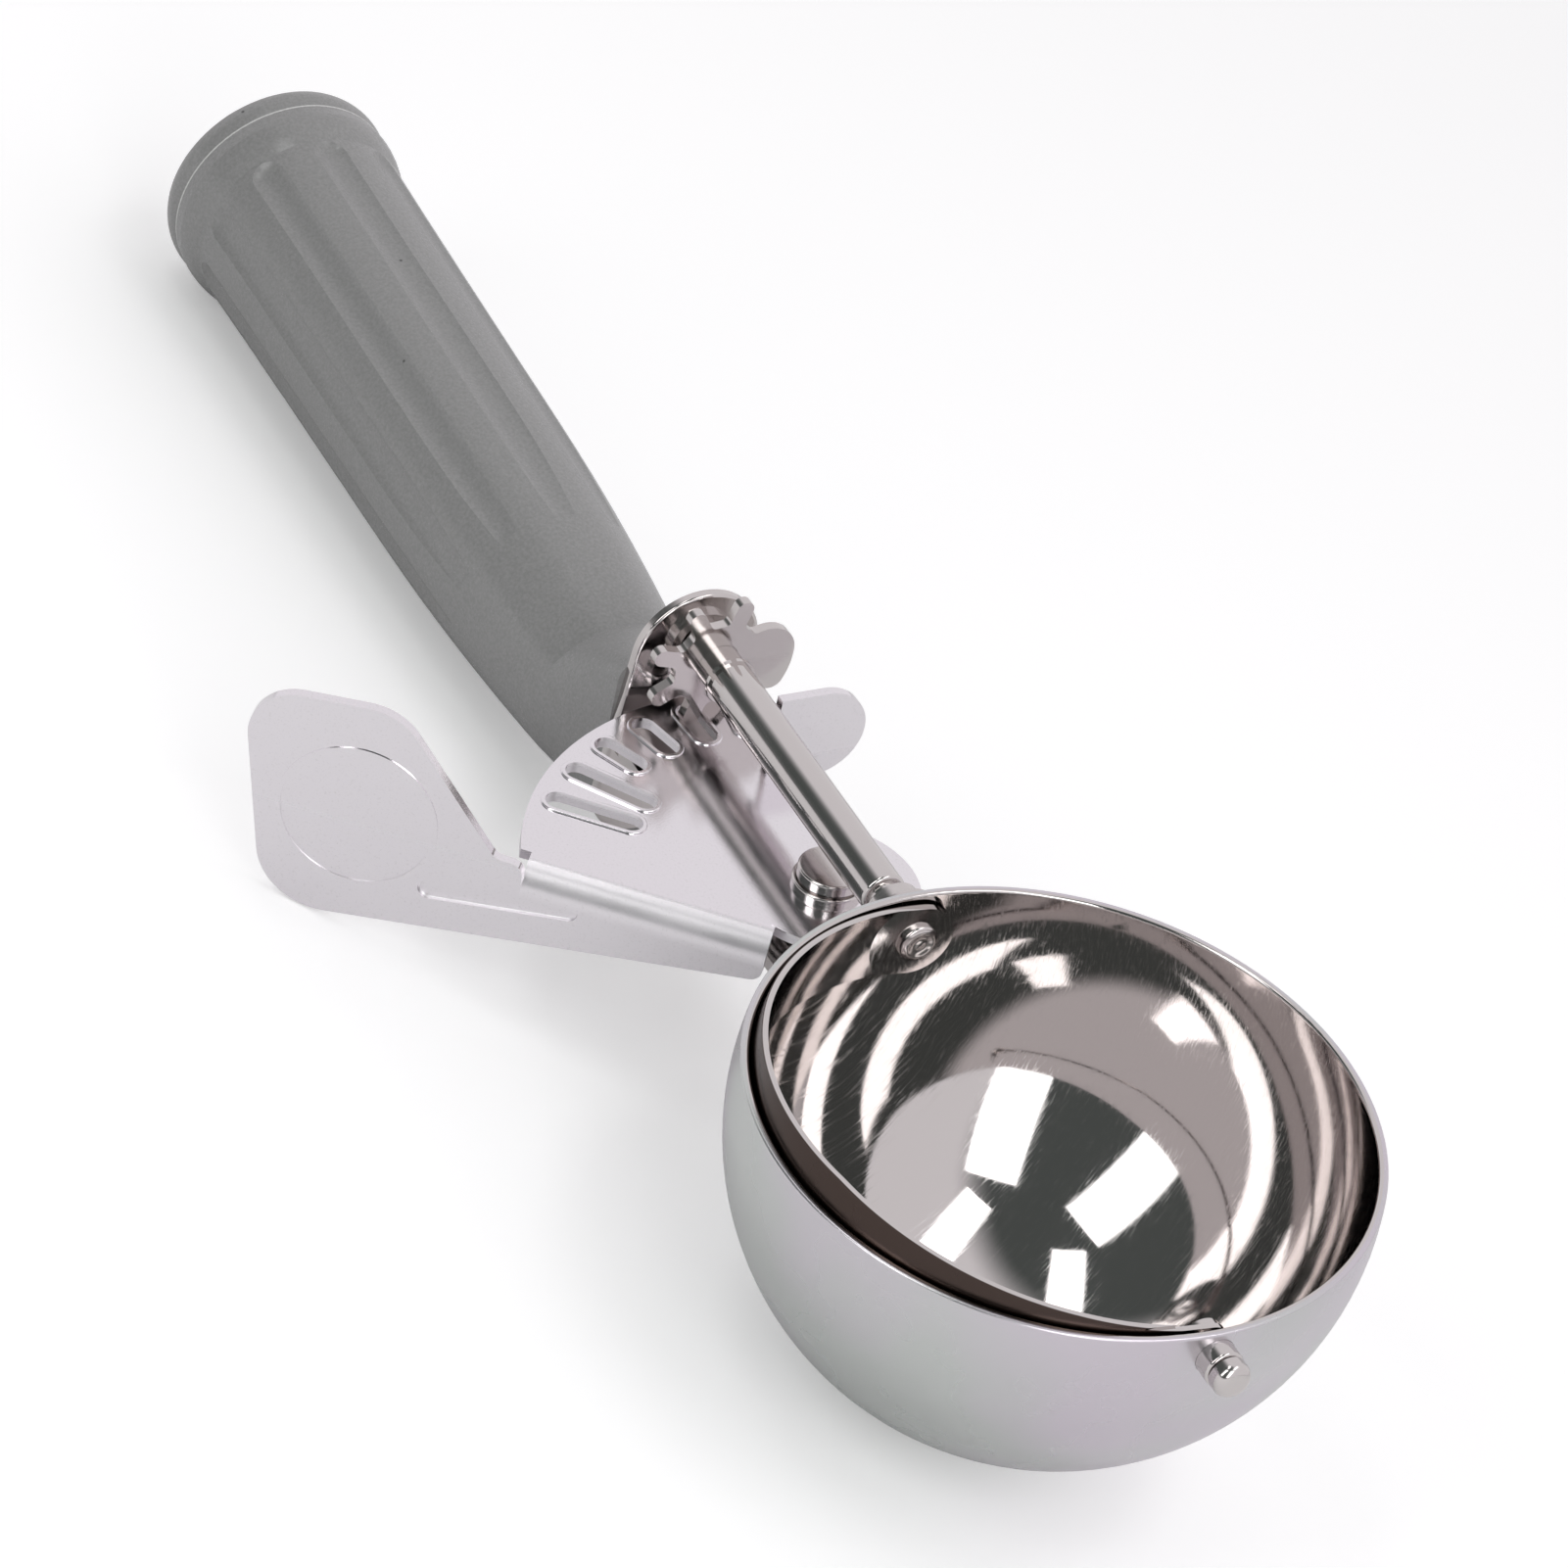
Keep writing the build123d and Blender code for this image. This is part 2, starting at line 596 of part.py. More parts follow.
def lever_rivet():
    head = post(RIVET_HEAD_R, RIVET_HEAD_Z, RIVET_HEAD_Z + RIVET_HEAD_HEIGHT)
    head = fillet(head.edges().sort_by(Axis.Z)[-1], RIVET_HEAD_ROUNDING)
    foot = post(RIVET_FOOT_R, STRAP_LOW_Z - RIVET_FOOT_HEIGHT, STRAP_LOW_Z)
    foot = fillet(foot.edges().sort_by(Axis.Z)[0], RIVET_FOOT_ROUNDING)
    return head + post(RIVET_SHANK_R, STRAP_LOW_Z, RIVET_HEAD_Z) + foot


def rivet_washer():
    ring = post(WASHER_R, RIVET_HEAD_Z - WASHER_THICK, RIVET_HEAD_Z)
    return ring - pivot_bore(RIVET_SHANK_R + FIT)


def rivet_spacer():
    tube = post(SPACER_R, STRAP_TOP_Z, LEVER_LOW_Z - STACK_GAP)
    return tube - pivot_bore(RIVET_SHANK_R + FIT)


def helix_point(quarter):
    """Centre of the wire and its direction after so many quarter turns of the coil."""
    turn = quarter * pi / 2
    rise = COIL_PITCH / (2 * pi)
    low = (STRAP_TOP_Z + LEVER_LOW_Z - COIL_PITCH * COIL_QUARTERS / 4) / 2
    point = Vector(PIVOT_X + COIL_R * cos(turn), COIL_R * sin(turn), low + rise * turn)
    heading = Vector(-COIL_R * sin(turn), COIL_R * cos(turn), rise).normalized()
    return point, heading


def biarc(start, start_dir, end, end_dir):
    """Two arcs that leave the start and reach the end in the given directions."""
    chord = end - start
    both = start_dir + end_dir
    spread = 2 * (1 - start_dir.dot(end_dir))
    along = chord.dot(both)
    reach = (sqrt(along ** 2 + spread * chord.dot(chord)) - along) / spread
    middle = (start + start_dir * reach + end - end_dir * reach) * 0.5
    joint_dir = (end - end_dir * reach - start - start_dir * reach).normalized()
    return [TangentArc(start, middle, tangent=start_dir), TangentArc(middle, end, tangent=joint_dir)]


def spring_leg(point, heading, up):
    """Straight leg off the coil, then a quarter bend into its hole."""
    knee = point + heading * LEG_LENGTH
    tip_dir = Vector(0, 0, up)
    tip = knee + heading * LEG_BEND_R + tip_dir * LEG_BEND_R
    return knee, tip


def spring_ends():
    """Tips of the lower and of the upper leg."""
    first, first_dir = helix_point(0)
    last, last_dir = helix_point(COIL_QUARTERS)
    return spring_leg(first, first_dir * -1, -1), spring_leg(last, last_dir, 1)


def spring_holes(z_from, z_to, upper):
    """Hole for a leg's tip, in the strap or in the lever's underside."""
    low, high = spring_ends()
    tip = high[1] if upper else low[1]
    return post(WIRE_D / 2 + LEG_HOLE_GAP, z_from, z_to, tip.X, tip.Y)


def return_spring():
    stations = [helix_point(k) for k in range(COIL_QUARTERS + 1)]
    path = []
    low, high = spring_ends()
    low_tip_dir = Vector(0, 0, 1)
    path += biarc(low[1], low_tip_dir, low[0], stations[0][1])
    path += [Line(low[0], stations[0][0])]
    for k in range(COIL_QUARTERS):
        path += biarc(*stations[k], *stations[k + 1])
    path += [Line(stations[-1][0], high[0])]
    path += biarc(high[0], stations[-1][1], high[1], Vector(0, 0, 1))
    wire = Wire([edge for piece in path for edge in piece.edges()])
    print("return_spring: least gap to itself", round(least_gap(), 2), "mm")
    section = Plane(origin=low[1], z_dir=low_tip_dir) * Circle(WIRE_D / 2)
    return sweep(section, path=wire)


def least_gap():
    """Least distance between wire surfaces, on points at least half a turn apart."""
    steps = 24
    points = [helix_point(k / steps)[0] for k in range(COIL_QUARTERS * steps + 1)]
    half_turn = 2 * steps
    gaps = [
        (points[j] - points[i]).length - WIRE_D
        for i in range(len(points))
        for j in range(i + half_turn, len(points))
    ]
    return min(gaps)


def frame_strap():
    """Flat strap under the fan that ends in a saddle on the bowl."""
    front = SADDLE_FRONT - BOWL_R
    width = STRAP_HALF_WIDTH
    strap = slab(END_PLATE_X, front, -width, width, STRAP_LOW_Z, STRAP_TOP_Z)
    strap -= Sphere(BOWL_R)
    saddle = Sphere(BOWL_R + SADDLE_THICK) - Sphere(BOWL_R)
    width = SADDLE_HALF_WIDTH
    saddle &= slab(-2 * BOWL_R, front, -width, width, SADDLE_LOW_Z, SADDLE_TOP_Z)
    strap += saddle
    strap -= pivot_bore(RIVET_SHANK_R + FIT)
    return strap - spring_holes(STRAP_LOW_Z - 1, STRAP_TOP_Z + 1, upper=False)


def end_plate():
    """Arched plate that widens downwards."""
    foot_y = END_PLATE_LOW_HALF_WIDTH - END_PLATE_CORNER_R
    foot_z = END_PLATE_LOW_Z + END_PLATE_CORNER_R
    rounds = [Pos(0, END_PLATE_ARCH_Z) * Circle(END_PLATE_R)]
    rounds += [Pos(y, foot_z) * Circle(END_PLATE_CORNER_R) for y in (-foot_y, foot_y)]
    outline = make_hull([edge for circle in rounds for edge in circle.edges()])
    plate = extrude(cross_plane(END_PLATE_REAR_X) * outline, END_PLATE_THICK)
    front = plate.faces().sort_by(Axis.X)[-1].edges()
    plate = fillet(front, END_PLATE_ROUNDING)
    return plate - bore(END_BUSH_R + FIT, END_PLATE_REAR_X, END_PLATE_X)


def end_plate_bush():
    flange_face = END_PLATE_X + END_BUSH_FLANGE_THICK
    bush = rod(END_BUSH_R, END_PLATE_REAR_X + STACK_GAP, END_PLATE_X)
    bush += rod(END_BUSH_FLANGE_R, END_PLATE_X, flange_face)
    return bush - bore(CORE_R + RUNNING_FIT, END_PLATE_REAR_X, flange_face)


def place_of(x):
    """Place on the handle's axis that lies at a given X."""
    return (x - HANDLE_MID.X) / HANDLE_AXIS.X


def handle_tang():
    """Bar on the end plate's back, along the handle's axis."""
    bar = Rectangle(2 * TANG_HALF_WIDTH, TANG_THICK)
    length = place_of(END_PLATE_REAR_X) - TANG_END
    tang = extrude(handle_plane(TANG_END) * bar, length + 1)
    reach = 2 * TANG_HALF_WIDTH
    tang -= slab(END_PLATE_REAR_X, END_PLATE_X, -reach, reach, 2 * HANDLE_MID_Z, 0)
    return tang - tang_pins(FIT)


def tang_pins(extra=0.0):
    """Two cross pins that hold the tang in the handle."""
    pin = Rot(X=90) * Cylinder(TANG_PIN_R + extra, 2 * (TANG_PIN_HALF_LENGTH + extra))
    first, second = [handle_plane(place) * pin for place in TANG_PIN_PLACES]
    return first + second


def grip_body():
    """Turned part of the handle with its collar, about the handle's axis."""
    first = HANDLE_STATIONS[0]
    last = HANDLE_STATIONS[-1]
    crown = (COLLAR_CROWN, COLLAR_R)
    fall = TangentArc(crown, first, tangent=(1, 0))
    side = Spline(HANDLE_STATIONS)
    rest = Polyline(last, (last[0], 0), (PARTING, 0), (PARTING, COLLAR_R - PARTING_STEP), crown)
    return turned(Curve() + [fall, side, rest])


def grip_front():
    """From the round neck to the squarer front end behind the end plate."""
    place, radius = HANDLE_STATIONS[-1]
    neck = handle_plane(place) * Circle(radius)
    height = FRONT_TOP_Z - FRONT_LOW_Z
    front = Pos(0, (FRONT_TOP_Z + FRONT_LOW_Z) / 2) * Rectangle(2 * FRONT_HALF_WIDTH, height)
    high = front.vertices().sort_by(Axis.Y)[-2:]
    front = fillet(high, FRONT_CORNER_R)
    low = front.vertices().sort_by(Axis.Y)[:2]
    front = fillet(low, FRONT_LOW_CORNER_R)
    return loft([neck.face(), (cross_plane(END_PLATE_REAR_X) * front).face()])


def flute():
    """Cutter of the groove on the handle's +Y side, before its turn about the axis."""
    run = FLUTE_END - FLUTE_START
    fall = FLUTE_END_FLOOR_R - FLUTE_START_FLOOR_R
    cutter = Cylinder(FLUTE_R, hypot(run, fall), align=(Align.CENTER, Align.CENTER, Align.MIN))
    cutter += Sphere(FLUTE_R)
    lean = Rot(Y=degrees(atan2(fall, run)))
    return Pos(FLUTE_START_FLOOR_R + FLUTE_R, 0, 0) * lean * cutter


def handle_grip():
    """Grip with grooves that fade out where it narrows, and room for the tang."""
    grip = grip_body() + grip_front()
    cutter = flute()
    for k in range(FLUTE_COUNT):
        turn = Rot(Z=FLUTE_PHASE + 360 / FLUTE_COUNT * k)
        grip -= handle_plane(FLUTE_START) * turn * cutter
    room = Rectangle(2 * TANG_HALF_WIDTH + TANG_ROOM, TANG_THICK + TANG_ROOM)
    length = place_of(END_PLATE_REAR_X) - TANG_END
    grip -= extrude(handle_plane(TANG_END - TANG_ROOM_BEYOND) * room, length + 2)
    return grip - tang_pins(FIT)


def handle_cap():
    """Domed end cap with a small flat at its middle."""
    lip = (PARTING, COLLAR_R - PARTING_STEP)
    shoulder = (PARTING - CAP_SHOULDER[0], COLLAR_R - CAP_SHOULDER[1])
    crown = (PARTING - CAP_DOME[0], COLLAR_R - CAP_DOME[1])
    edge = ThreePointArc(lip, (PARTING - CAP_BAND, COLLAR_R), shoulder)
    dome = Spline([shoulder, crown, (DOME_END, FLAT_R)], tangents=[(-0.55, -1), (-0.12, -1)])
    rest = Polyline((DOME_END, FLAT_R), (DOME_END, 0), (PARTING, 0), lip)
    return turned(Curve() + [edge, dome, rest])


def pad_corner():
    """Centre of the thumb pad's low rounding, on the sheet's outer face."""
    low = Vector(*PAD_LOW_END, 0)
    edge = (Vector(*PAD_TOP_END, 0) - low).normalized()
    base = (Vector(FLANGE_END, FLANGE_END_Z, 0) - low).normalized()
    half = acos(edge.dot(base)) / 2
    centre = low + (edge + base).normalized() * (PAD_LOW_CORNER_R / sin(half))
    return FLANGE_PLANE.from_local_coords(centre)


def rest_direction():
    """Upward direction, in the shaft's frame, when bowl, collar and thumb pad touch the table."""
    ring = handle_plane(COLLAR_CROWN).origin
    corner = pad_corner()
    up = Vector(0, 0, 1)
    for _ in range(60):
        across = (up - HANDLE_AXIS * up.dot(HANDLE_AXIS)).length
        x_part = (BOWL_R - COLLAR_R * across + ring.Z * up.Z) / -ring.X
        in_sheet = (up - FLANGE_PLANE.z_dir * up.dot(FLANGE_PLANE.z_dir)).length
        y_part = (BOWL_R - PAD_LOW_CORNER_R * in_sheet + corner.X * up.X + corner.Z * up.Z) / -corner.Y
        up = Vector(x_part, y_part, sqrt(1 - x_part ** 2 - y_part ** 2))
    return up


PIECES = {
    "bowl": bowl,
    "front_bush": front_bush,
    "rear_bush": rear_bush,
    "frame_strap": frame_strap,
    "end_plate": end_plate,
    "end_plate_bush": end_plate_bush,
    "lever_rivet": lever_rivet,
    "rivet_washer": rivet_washer,
    "rivet_spacer": rivet_spacer,
    "return_spring": return_spring,
    "handle_tang": handle_tang,
    "tang_pins": tang_pins,
    "handle_grip": handle_grip,
    "handle_cap": handle_cap,
    "thumb_lever": thumb_lever,
    "lever_bush": lever_bush,
    "scraper_shaft": scraper_shaft,
    "pinion_hub": pinion_hub,
    "pinion": pinion,
    "scraper_blade": scraper_blade,
    "eye_rivet": eye_rivet,
    "front_pivot_pin": front_pivot_pin,
}


def main():
    os.makedirs("parts", exist_ok=True)
    up = rest_direction()
    ahead = (Vector(1, 0, 0) - up * up.X).normalized()
    table = Plane(origin=(0, 0, 0), x_dir=ahead, z_dir=up)
    laid = {name: table.location.inverse() * make() for name, make in PIECES.items()}
    boxes = [piece.bounding_box() for piece in laid.values()]
    low = [min(getattr(box.min, axis) for box in boxes) for axis in "XYZ"]
    high = [max(getattr(box.max, axis) for box in boxes) for axis in "XYZ"]
    shift = Pos(-(low[0] + high[0]) / 2, -(low[1] + high[1]) / 2, -low[2])
    for name, piece in laid.items():
        solid = shift * piece
        solid.label = name
        export_step(solid, f"parts/{name}.step")
    print("size", [round(b - a, 2) for a, b in zip(low, high)])
    report_places(table, shift)


def report_places(table, shift):
    """Joint places and directions in the resting pose, in metres."""
    frame = shift * table.location.inverse()
    for name, point in (("bowl_centre", (0, 0, 0)), ("lever_pivot", (PIVOT_X, 0, LEVER_TOP_Z))):
        place = (frame * Pos(*point)).position
        print(name, [round(v / 1000, 6) for v in place])
    origin = (frame * Pos(0, 0, 0)).position
    for name, axis in (("shaft", (1, 0, 0)), ("side", (0, 1, 0)), ("up", (0, 0, 1))):
        tip = (frame * Pos(*axis)).position
        print(name, [round(v, 6) for v in tip - origin])
    flat = (frame * handle_plane(DOME_END).location).position
    print("cap_flat", [round(v / 1000, 6) for v in flat])


main()
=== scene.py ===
# %% [markdown]
# Ice cream scoop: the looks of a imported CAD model.
# The solids come from the frame, at their real sizes and places. They could be modelled again
# here, but then their sizes and their motion could drift from the CAD model. So they stay as
# they are, and this script gives each of them its finish, adds two small worked details that
# the solids leave out, and sets up the studio.

# %% Load the frame
import json
from math import cos, pi, radians, sin

import bpy
from mathutils import Matrix, Vector


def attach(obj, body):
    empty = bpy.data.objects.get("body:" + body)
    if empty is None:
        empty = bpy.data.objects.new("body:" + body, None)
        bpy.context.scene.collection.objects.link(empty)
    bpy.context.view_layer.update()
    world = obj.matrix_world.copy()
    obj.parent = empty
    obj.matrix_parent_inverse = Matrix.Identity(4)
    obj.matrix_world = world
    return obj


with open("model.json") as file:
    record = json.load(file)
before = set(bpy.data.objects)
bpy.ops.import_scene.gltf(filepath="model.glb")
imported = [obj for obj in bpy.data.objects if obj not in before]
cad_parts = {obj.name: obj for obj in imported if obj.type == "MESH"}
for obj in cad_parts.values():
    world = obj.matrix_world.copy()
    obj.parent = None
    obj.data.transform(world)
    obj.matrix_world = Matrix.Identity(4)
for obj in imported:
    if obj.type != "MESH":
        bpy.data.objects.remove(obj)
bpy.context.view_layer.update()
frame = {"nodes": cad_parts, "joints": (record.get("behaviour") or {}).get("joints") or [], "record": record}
nodes = frame["nodes"]
print("solids in the frame:", len(nodes))

# %% [markdown]
# The scoop lies tilted on the table, on its bowl and its thumb pad. Places on it could be given
# in the room, but everything on it lines up with the scraper's shaft. So they are given from
# the bowl's centre: x along the shaft towards the bowl's far side, y to the side away from the
# thumb, z out of the bowl's mouth. The frame's two joints say where that is.

# %% The scoop's own directions
MM = 0.001


def placed(x_axis, y_axis, z_axis, origin):
    """The matrix of a thing with these three directions, at this place."""
    matrix = Matrix((x_axis, y_axis, z_axis)).transposed().to_4x4()
    matrix.translation = origin
    return matrix


joints = {joint["name"]: joint for joint in frame["joints"]}
BOWL_CENTRE = Vector(joints["scraper_turn"]["pos_m"])
ALONG = Vector(joints["scraper_turn"]["axis"]).normalized()
MOUTH = -Vector(joints["lever_press"]["axis"]).normalized()
SCOOP = placed(ALONG, MOUTH.cross(ALONG).normalized(), MOUTH, BOWL_CENTRE)
print("bowl centre", [round(v, 4) for v in BOWL_CENTRE])

# %% Places and directions on the scoop


def on_scoop(x, y, z):
    """A place in the room from millimetres on the scoop."""
    return SCOOP @ (Vector((x, y, z)) * MM)


def towards(x, y, z):
    """A direction in the room from one on the scoop."""
    return (SCOOP.to_3x3() @ Vector((x, y, z))).normalized()


print("the mouth opens towards", [round(v, 3) for v in towards(0, 0, 1)])

# %% [markdown]
# The photograph was taken from the thumb's side, from the front and above, with a long lens.
# A camera can be aimed by eye. Here its place and directions were fitted to the bowl's rim, the
# shaft and the fan, so that the same points of the scoop fall on the same points of the picture.

# %% Camera
CAMERA_PLACE = (534.9, -410.3, 552.8)
CAMERA_LOOK = (-0.65484, 0.44886, -0.60804)
CAMERA_RIGHT = (0.43964, 0.88064, 0.17662)
SENSOR = 36.0
LENS = 191.1
NEAREST = 0.01
FURTHEST = 20

lens = bpy.data.cameras.new("photo_camera")
lens.sensor_width = SENSOR
lens.lens = LENS
lens.clip_start = NEAREST
lens.clip_end = FURTHEST
camera = bpy.data.objects.new("photo_camera", lens)
bpy.context.scene.collection.objects.link(camera)
look = towards(*CAMERA_LOOK)
right = towards(*CAMERA_RIGHT)
camera.matrix_world = placed(right, right.cross(look), -look, on_scoop(*CAMERA_PLACE))
bpy.context.scene.camera = camera
bpy.context.scene.view_settings.view_transform = "Standard"
print("camera", round((camera.location - BOWL_CENTRE).length, 3), "m from the bowl")

# %% [markdown]
# Polished steel has hardly any colour of its own: it shows the room. So the room matters more
# here than any material. The bright patches in the bowl could be painted on, but then they
# would stay put when the blade or the camera moves. So they are reflections of four long white
# panels, two beside the camera and two overhead. The panels are area lamps, given by where they
# start and end as seen from the bowl.

# %% Directions in the room


def direction(azimuth, height):
    """A direction in the room: azimuth from +X towards +Y, and height above the horizon."""
    a, h = radians(azimuth), radians(height)
    return Vector((cos(a) * cos(h), sin(a) * cos(h), sin(h)))


print("straight up", [round(v, 3) for v in direction(0, 90)])

# %% Lamps
PANEL_DISTANCE = 1.0
PANEL_BRIGHTNESS = 2.6
PANELS = {
    "panel_right": ((-24, 8), (-24, 54), 0.34),
    "panel_left": ((-83, 8), (-85, 49), 0.34),
    "panel_over_back": ((-19, 62), (70, 74), 0.2),
    "panel_over_side": ((-94, 57), (-144, 60), 0.2),
}


def add_panel(name, start, end, width):
    """A long lamp between two directions, facing the bowl."""
    low = direction(*start) * PANEL_DISTANCE
    high = direction(*end) * PANEL_DISTANCE
    lamp = bpy.data.lights.new(name, "AREA")
    lamp.shape = "RECTANGLE"
    lamp.size = width
    lamp.size_y = (high - low).length
    lamp.energy = PANEL_BRIGHTNESS * pi * lamp.size * lamp.size_y
    panel = bpy.data.objects.new(name, lamp)
    bpy.context.scene.collection.objects.link(panel)
    middle = (low + high) / 2
    back = middle.normalized()
    across = (high - low).normalized().cross(back).normalized()
    panel.matrix_world = placed(across, back.cross(across), back, BOWL_CENTRE + middle)
    panel.visible_camera = False


for name, (start, end, width) in PANELS.items():
    add_panel(name, start, end, width)
print("lamps", sorted(PANELS))

# %% [markdown]
# The world is the rest of the room. Steel needs something dark to mirror, or it looks like
# chalk, and the photograph's background is plain white all the same. A picture of a room could
# give both, but this part reads no pictures. So the world is white where the camera sees it,
# and in reflections a pale wall that turns into a dark stretch around the camera.

# %% World in reflections
DARK_TOWARDS = direction(-82, 26)
WALL = (0.80, 0.78, 0.80, 1)
DARK = (0.085, 0.095, 0.092, 1)
WALL_UNTIL = 0.42
DARK_FROM = 0.66

world = bpy.data.worlds.new("room")
bpy.context.scene.world = world
world.use_nodes = True
tree = world.node_tree
tree.nodes.clear()
place = tree.nodes.new("ShaderNodeTexCoord")
facing = tree.nodes.new("ShaderNodeVectorMath")
facing.operation = "DOT_PRODUCT"
facing.inputs[1].default_value = DARK_TOWARDS
tree.links.new(place.outputs["Generated"], facing.inputs[0])
ramp = tree.nodes.new("ShaderNodeValToRGB")
ramp.color_ramp.interpolation = "EASE"
wall_end, dark_end = ramp.color_ramp.elements
wall_end.position, wall_end.color = WALL_UNTIL, WALL
dark_end.position, dark_end.color = DARK_FROM, DARK
tree.links.new(facing.outputs["Value"], ramp.inputs["Fac"])
room = tree.nodes.new("ShaderNodeBackground")
tree.links.new(ramp.outputs["Color"], room.inputs["Color"])
print("dark stretch towards", [round(v, 2) for v in DARK_TOWARDS])

# %% World seen by the camera
WHITE = (1, 1, 1, 1)

white = tree.nodes.new("ShaderNodeBackground")
white.inputs["Color"].default_value = WHITE
rays = tree.nodes.new("ShaderNodeLightPath")
seen = tree.nodes.new("ShaderNodeMixShader")
out = tree.nodes.new("ShaderNodeOutputWorld")
tree.links.new(rays.outputs["Is Camera Ray"], seen.inputs["Fac"])
tree.links.new(room.outputs["Background"], seen.inputs[1])
tree.links.new(white.outputs["Background"], seen.inputs[2])
tree.links.new(seen.outputs["Shader"], out.inputs["Surface"])
print("world", world.name)

# %% [markdown]
# The floor is one wide white sheet under the scoop. It takes the scoop's soft shadow, and it is
# what the bowl's outside and the lever's flange mirror. The photograph is exposed so that the
# paper burns out to white. Stronger lamps would do that too, but they would burn the scoop. So
# the paper has a little light of its own, for the camera alone.

# %% Floor
FLOOR_SIZE = 6.0
FLOOR_GAP = 0.0002
PAPER_WHITE = (0.86, 0.86, 0.86, 1)
PAPER_ROUGHNESS = 0.9

bpy.ops.object.select_all(action="DESELECT")
bpy.ops.mesh.primitive_plane_add(size=FLOOR_SIZE, location=(0, 0, -FLOOR_GAP))
floor = bpy.context.object
floor.name = "floor"
paper = bpy.data.materials.new("paper_floor")
paper.use_nodes = True
floor.data.materials.append(paper)
tree = paper.node_tree
shader = tree.nodes["Principled BSDF"]
shader.inputs["Base Color"].default_value = PAPER_WHITE
shader.inputs["Roughness"].default_value = PAPER_ROUGHNESS
shader.inputs["Specular IOR Level"].default_value = 0.0
print("floor", floor.dimensions[:])

# %% The paper's own light
PAPER_GLOW = 0.3

glow = tree.nodes.new("ShaderNodeEmission")
glow.inputs["Strength"].default_value = PAPER_GLOW
lit = tree.nodes.new("ShaderNodeAddShader")
tree.links.new(shader.outputs["BSDF"], lit.inputs[0])
tree.links.new(glow.outputs["Emission"], lit.inputs[1])
rays = tree.nodes.new("ShaderNodeLightPath")
seen = tree.nodes.new("ShaderNodeMixShader")
tree.links.new(rays.outputs["Is Camera Ray"], seen.inputs["Fac"])
tree.links.new(shader.outputs["BSDF"], seen.inputs[1])
tree.links.new(lit.outputs["Shader"], seen.inputs[2])
tree.links.new(seen.outputs["Shader"], tree.nodes["Material Output"].inputs["Surface"])
print("paper glows with", PAPER_GLOW)

# %% [markdown]
# Every finish on the scoop is a pattern in its surface: lines, smears, pits, grain. A picture
# could be wrapped round each solid, but a CAD solid has no map for it. So the patterns are
# noise in space, measured in millimetres in the scoop's own directions. Each solid keeps its
# pattern when it moves, because Object coordinates move with it.

# %% A material in the scoop's directions


def new_material(name):
    """A material, its node tree, its shader, and the place on the scoop in millimetres."""
    material = bpy.data.materials.new(name)
    material.use_nodes = True
    tree = material.node_tree
    coords = tree.nodes.new("ShaderNodeTexCoord")
    turned = tree.nodes.new("ShaderNodeMapping")
    turned.vector_type = "TEXTURE"
    turned.inputs["Location"].default_value = BOWL_CENTRE
    turned.inputs["Rotation"].default_value = SCOOP.to_euler()
    turned.inputs["Scale"].default_value = (MM, MM, MM)
    tree.links.new(coords.outputs["Object"], turned.inputs["Vector"])
    return material, tree, tree.nodes["Principled BSDF"], turned.outputs["Vector"]


def new_steel(name):
    """The same for bare metal."""
    material, tree, shader, place = new_material(name)
    shader.inputs["Metallic"].default_value = 1.0
    return material, tree, shader, place


print("the scoop's turn", [round(v, 3) for v in SCOOP.to_euler()])

# %% [markdown]
# A polishing wheel leaves fine lines, all one way. Noise has no direction, but noise on a
# squeezed place has: where a place changes slowly, its features grow long. Two helpers squeeze
# the place, one along the scoop's directions and one along any line across the mouth.

# %% Places for lines


def stretched(tree, place, scale):
    """The same place with each direction scaled, so that noise on it becomes lines."""
    mapping = tree.nodes.new("ShaderNodeMapping")
    mapping.inputs["Scale"].default_value = scale
    tree.links.new(place, mapping.inputs["Vector"])
    return mapping.outputs["Vector"]


def streaks(tree, place, turn, lengths):
    """The same place with its X along the streaks; lengths are how far a streak runs each way."""
    mapping = tree.nodes.new("ShaderNodeMapping")
    mapping.vector_type = "TEXTURE"
    mapping.inputs["Rotation"].default_value = (0, 0, radians(turn))
    mapping.inputs["Scale"].default_value = lengths
    tree.links.new(place, mapping.inputs["Vector"])
    return mapping.outputs["Vector"]


print("two ways to squeeze a place")

# %% [markdown]
# From a place come values: noise, the distance from the bowl's centre, a product of two values,
# or a value spread over another range. From values come what the eye sees: how rough the
# surface is, its colour, and the small heights that a bump gives to its shading.

# %% Values from a place


def noise(tree, place, scale, detail=4.0, roughness=0.5):
    """Grey noise, its scale in features per millimetre."""
    made = tree.nodes.new("ShaderNodeTexNoise")
    made.inputs["Scale"].default_value = scale
    made.inputs["Detail"].default_value = detail
    made.inputs["Roughness"].default_value = roughness
    tree.links.new(place, made.inputs["Vector"])
    return made.outputs["Fac"]


def reach(tree, place):
    """The distance from the bowl's centre, in millimetres."""
    made = tree.nodes.new("ShaderNodeVectorMath")
    made.operation = "LENGTH"
    tree.links.new(place, made.inputs[0])
    return made.outputs["Value"]


def times(tree, first, second):
    """The product of two values."""
    made = tree.nodes.new("ShaderNodeMath")
    made.operation = "MULTIPLY"
    tree.links.new(first, made.inputs[0])
    tree.links.new(second, made.inputs[1])
    return made.outputs["Value"]


print("noise, reach and times make values")

# %% Looks from values
NOISE_SPREAD = (0.3, 0.7)


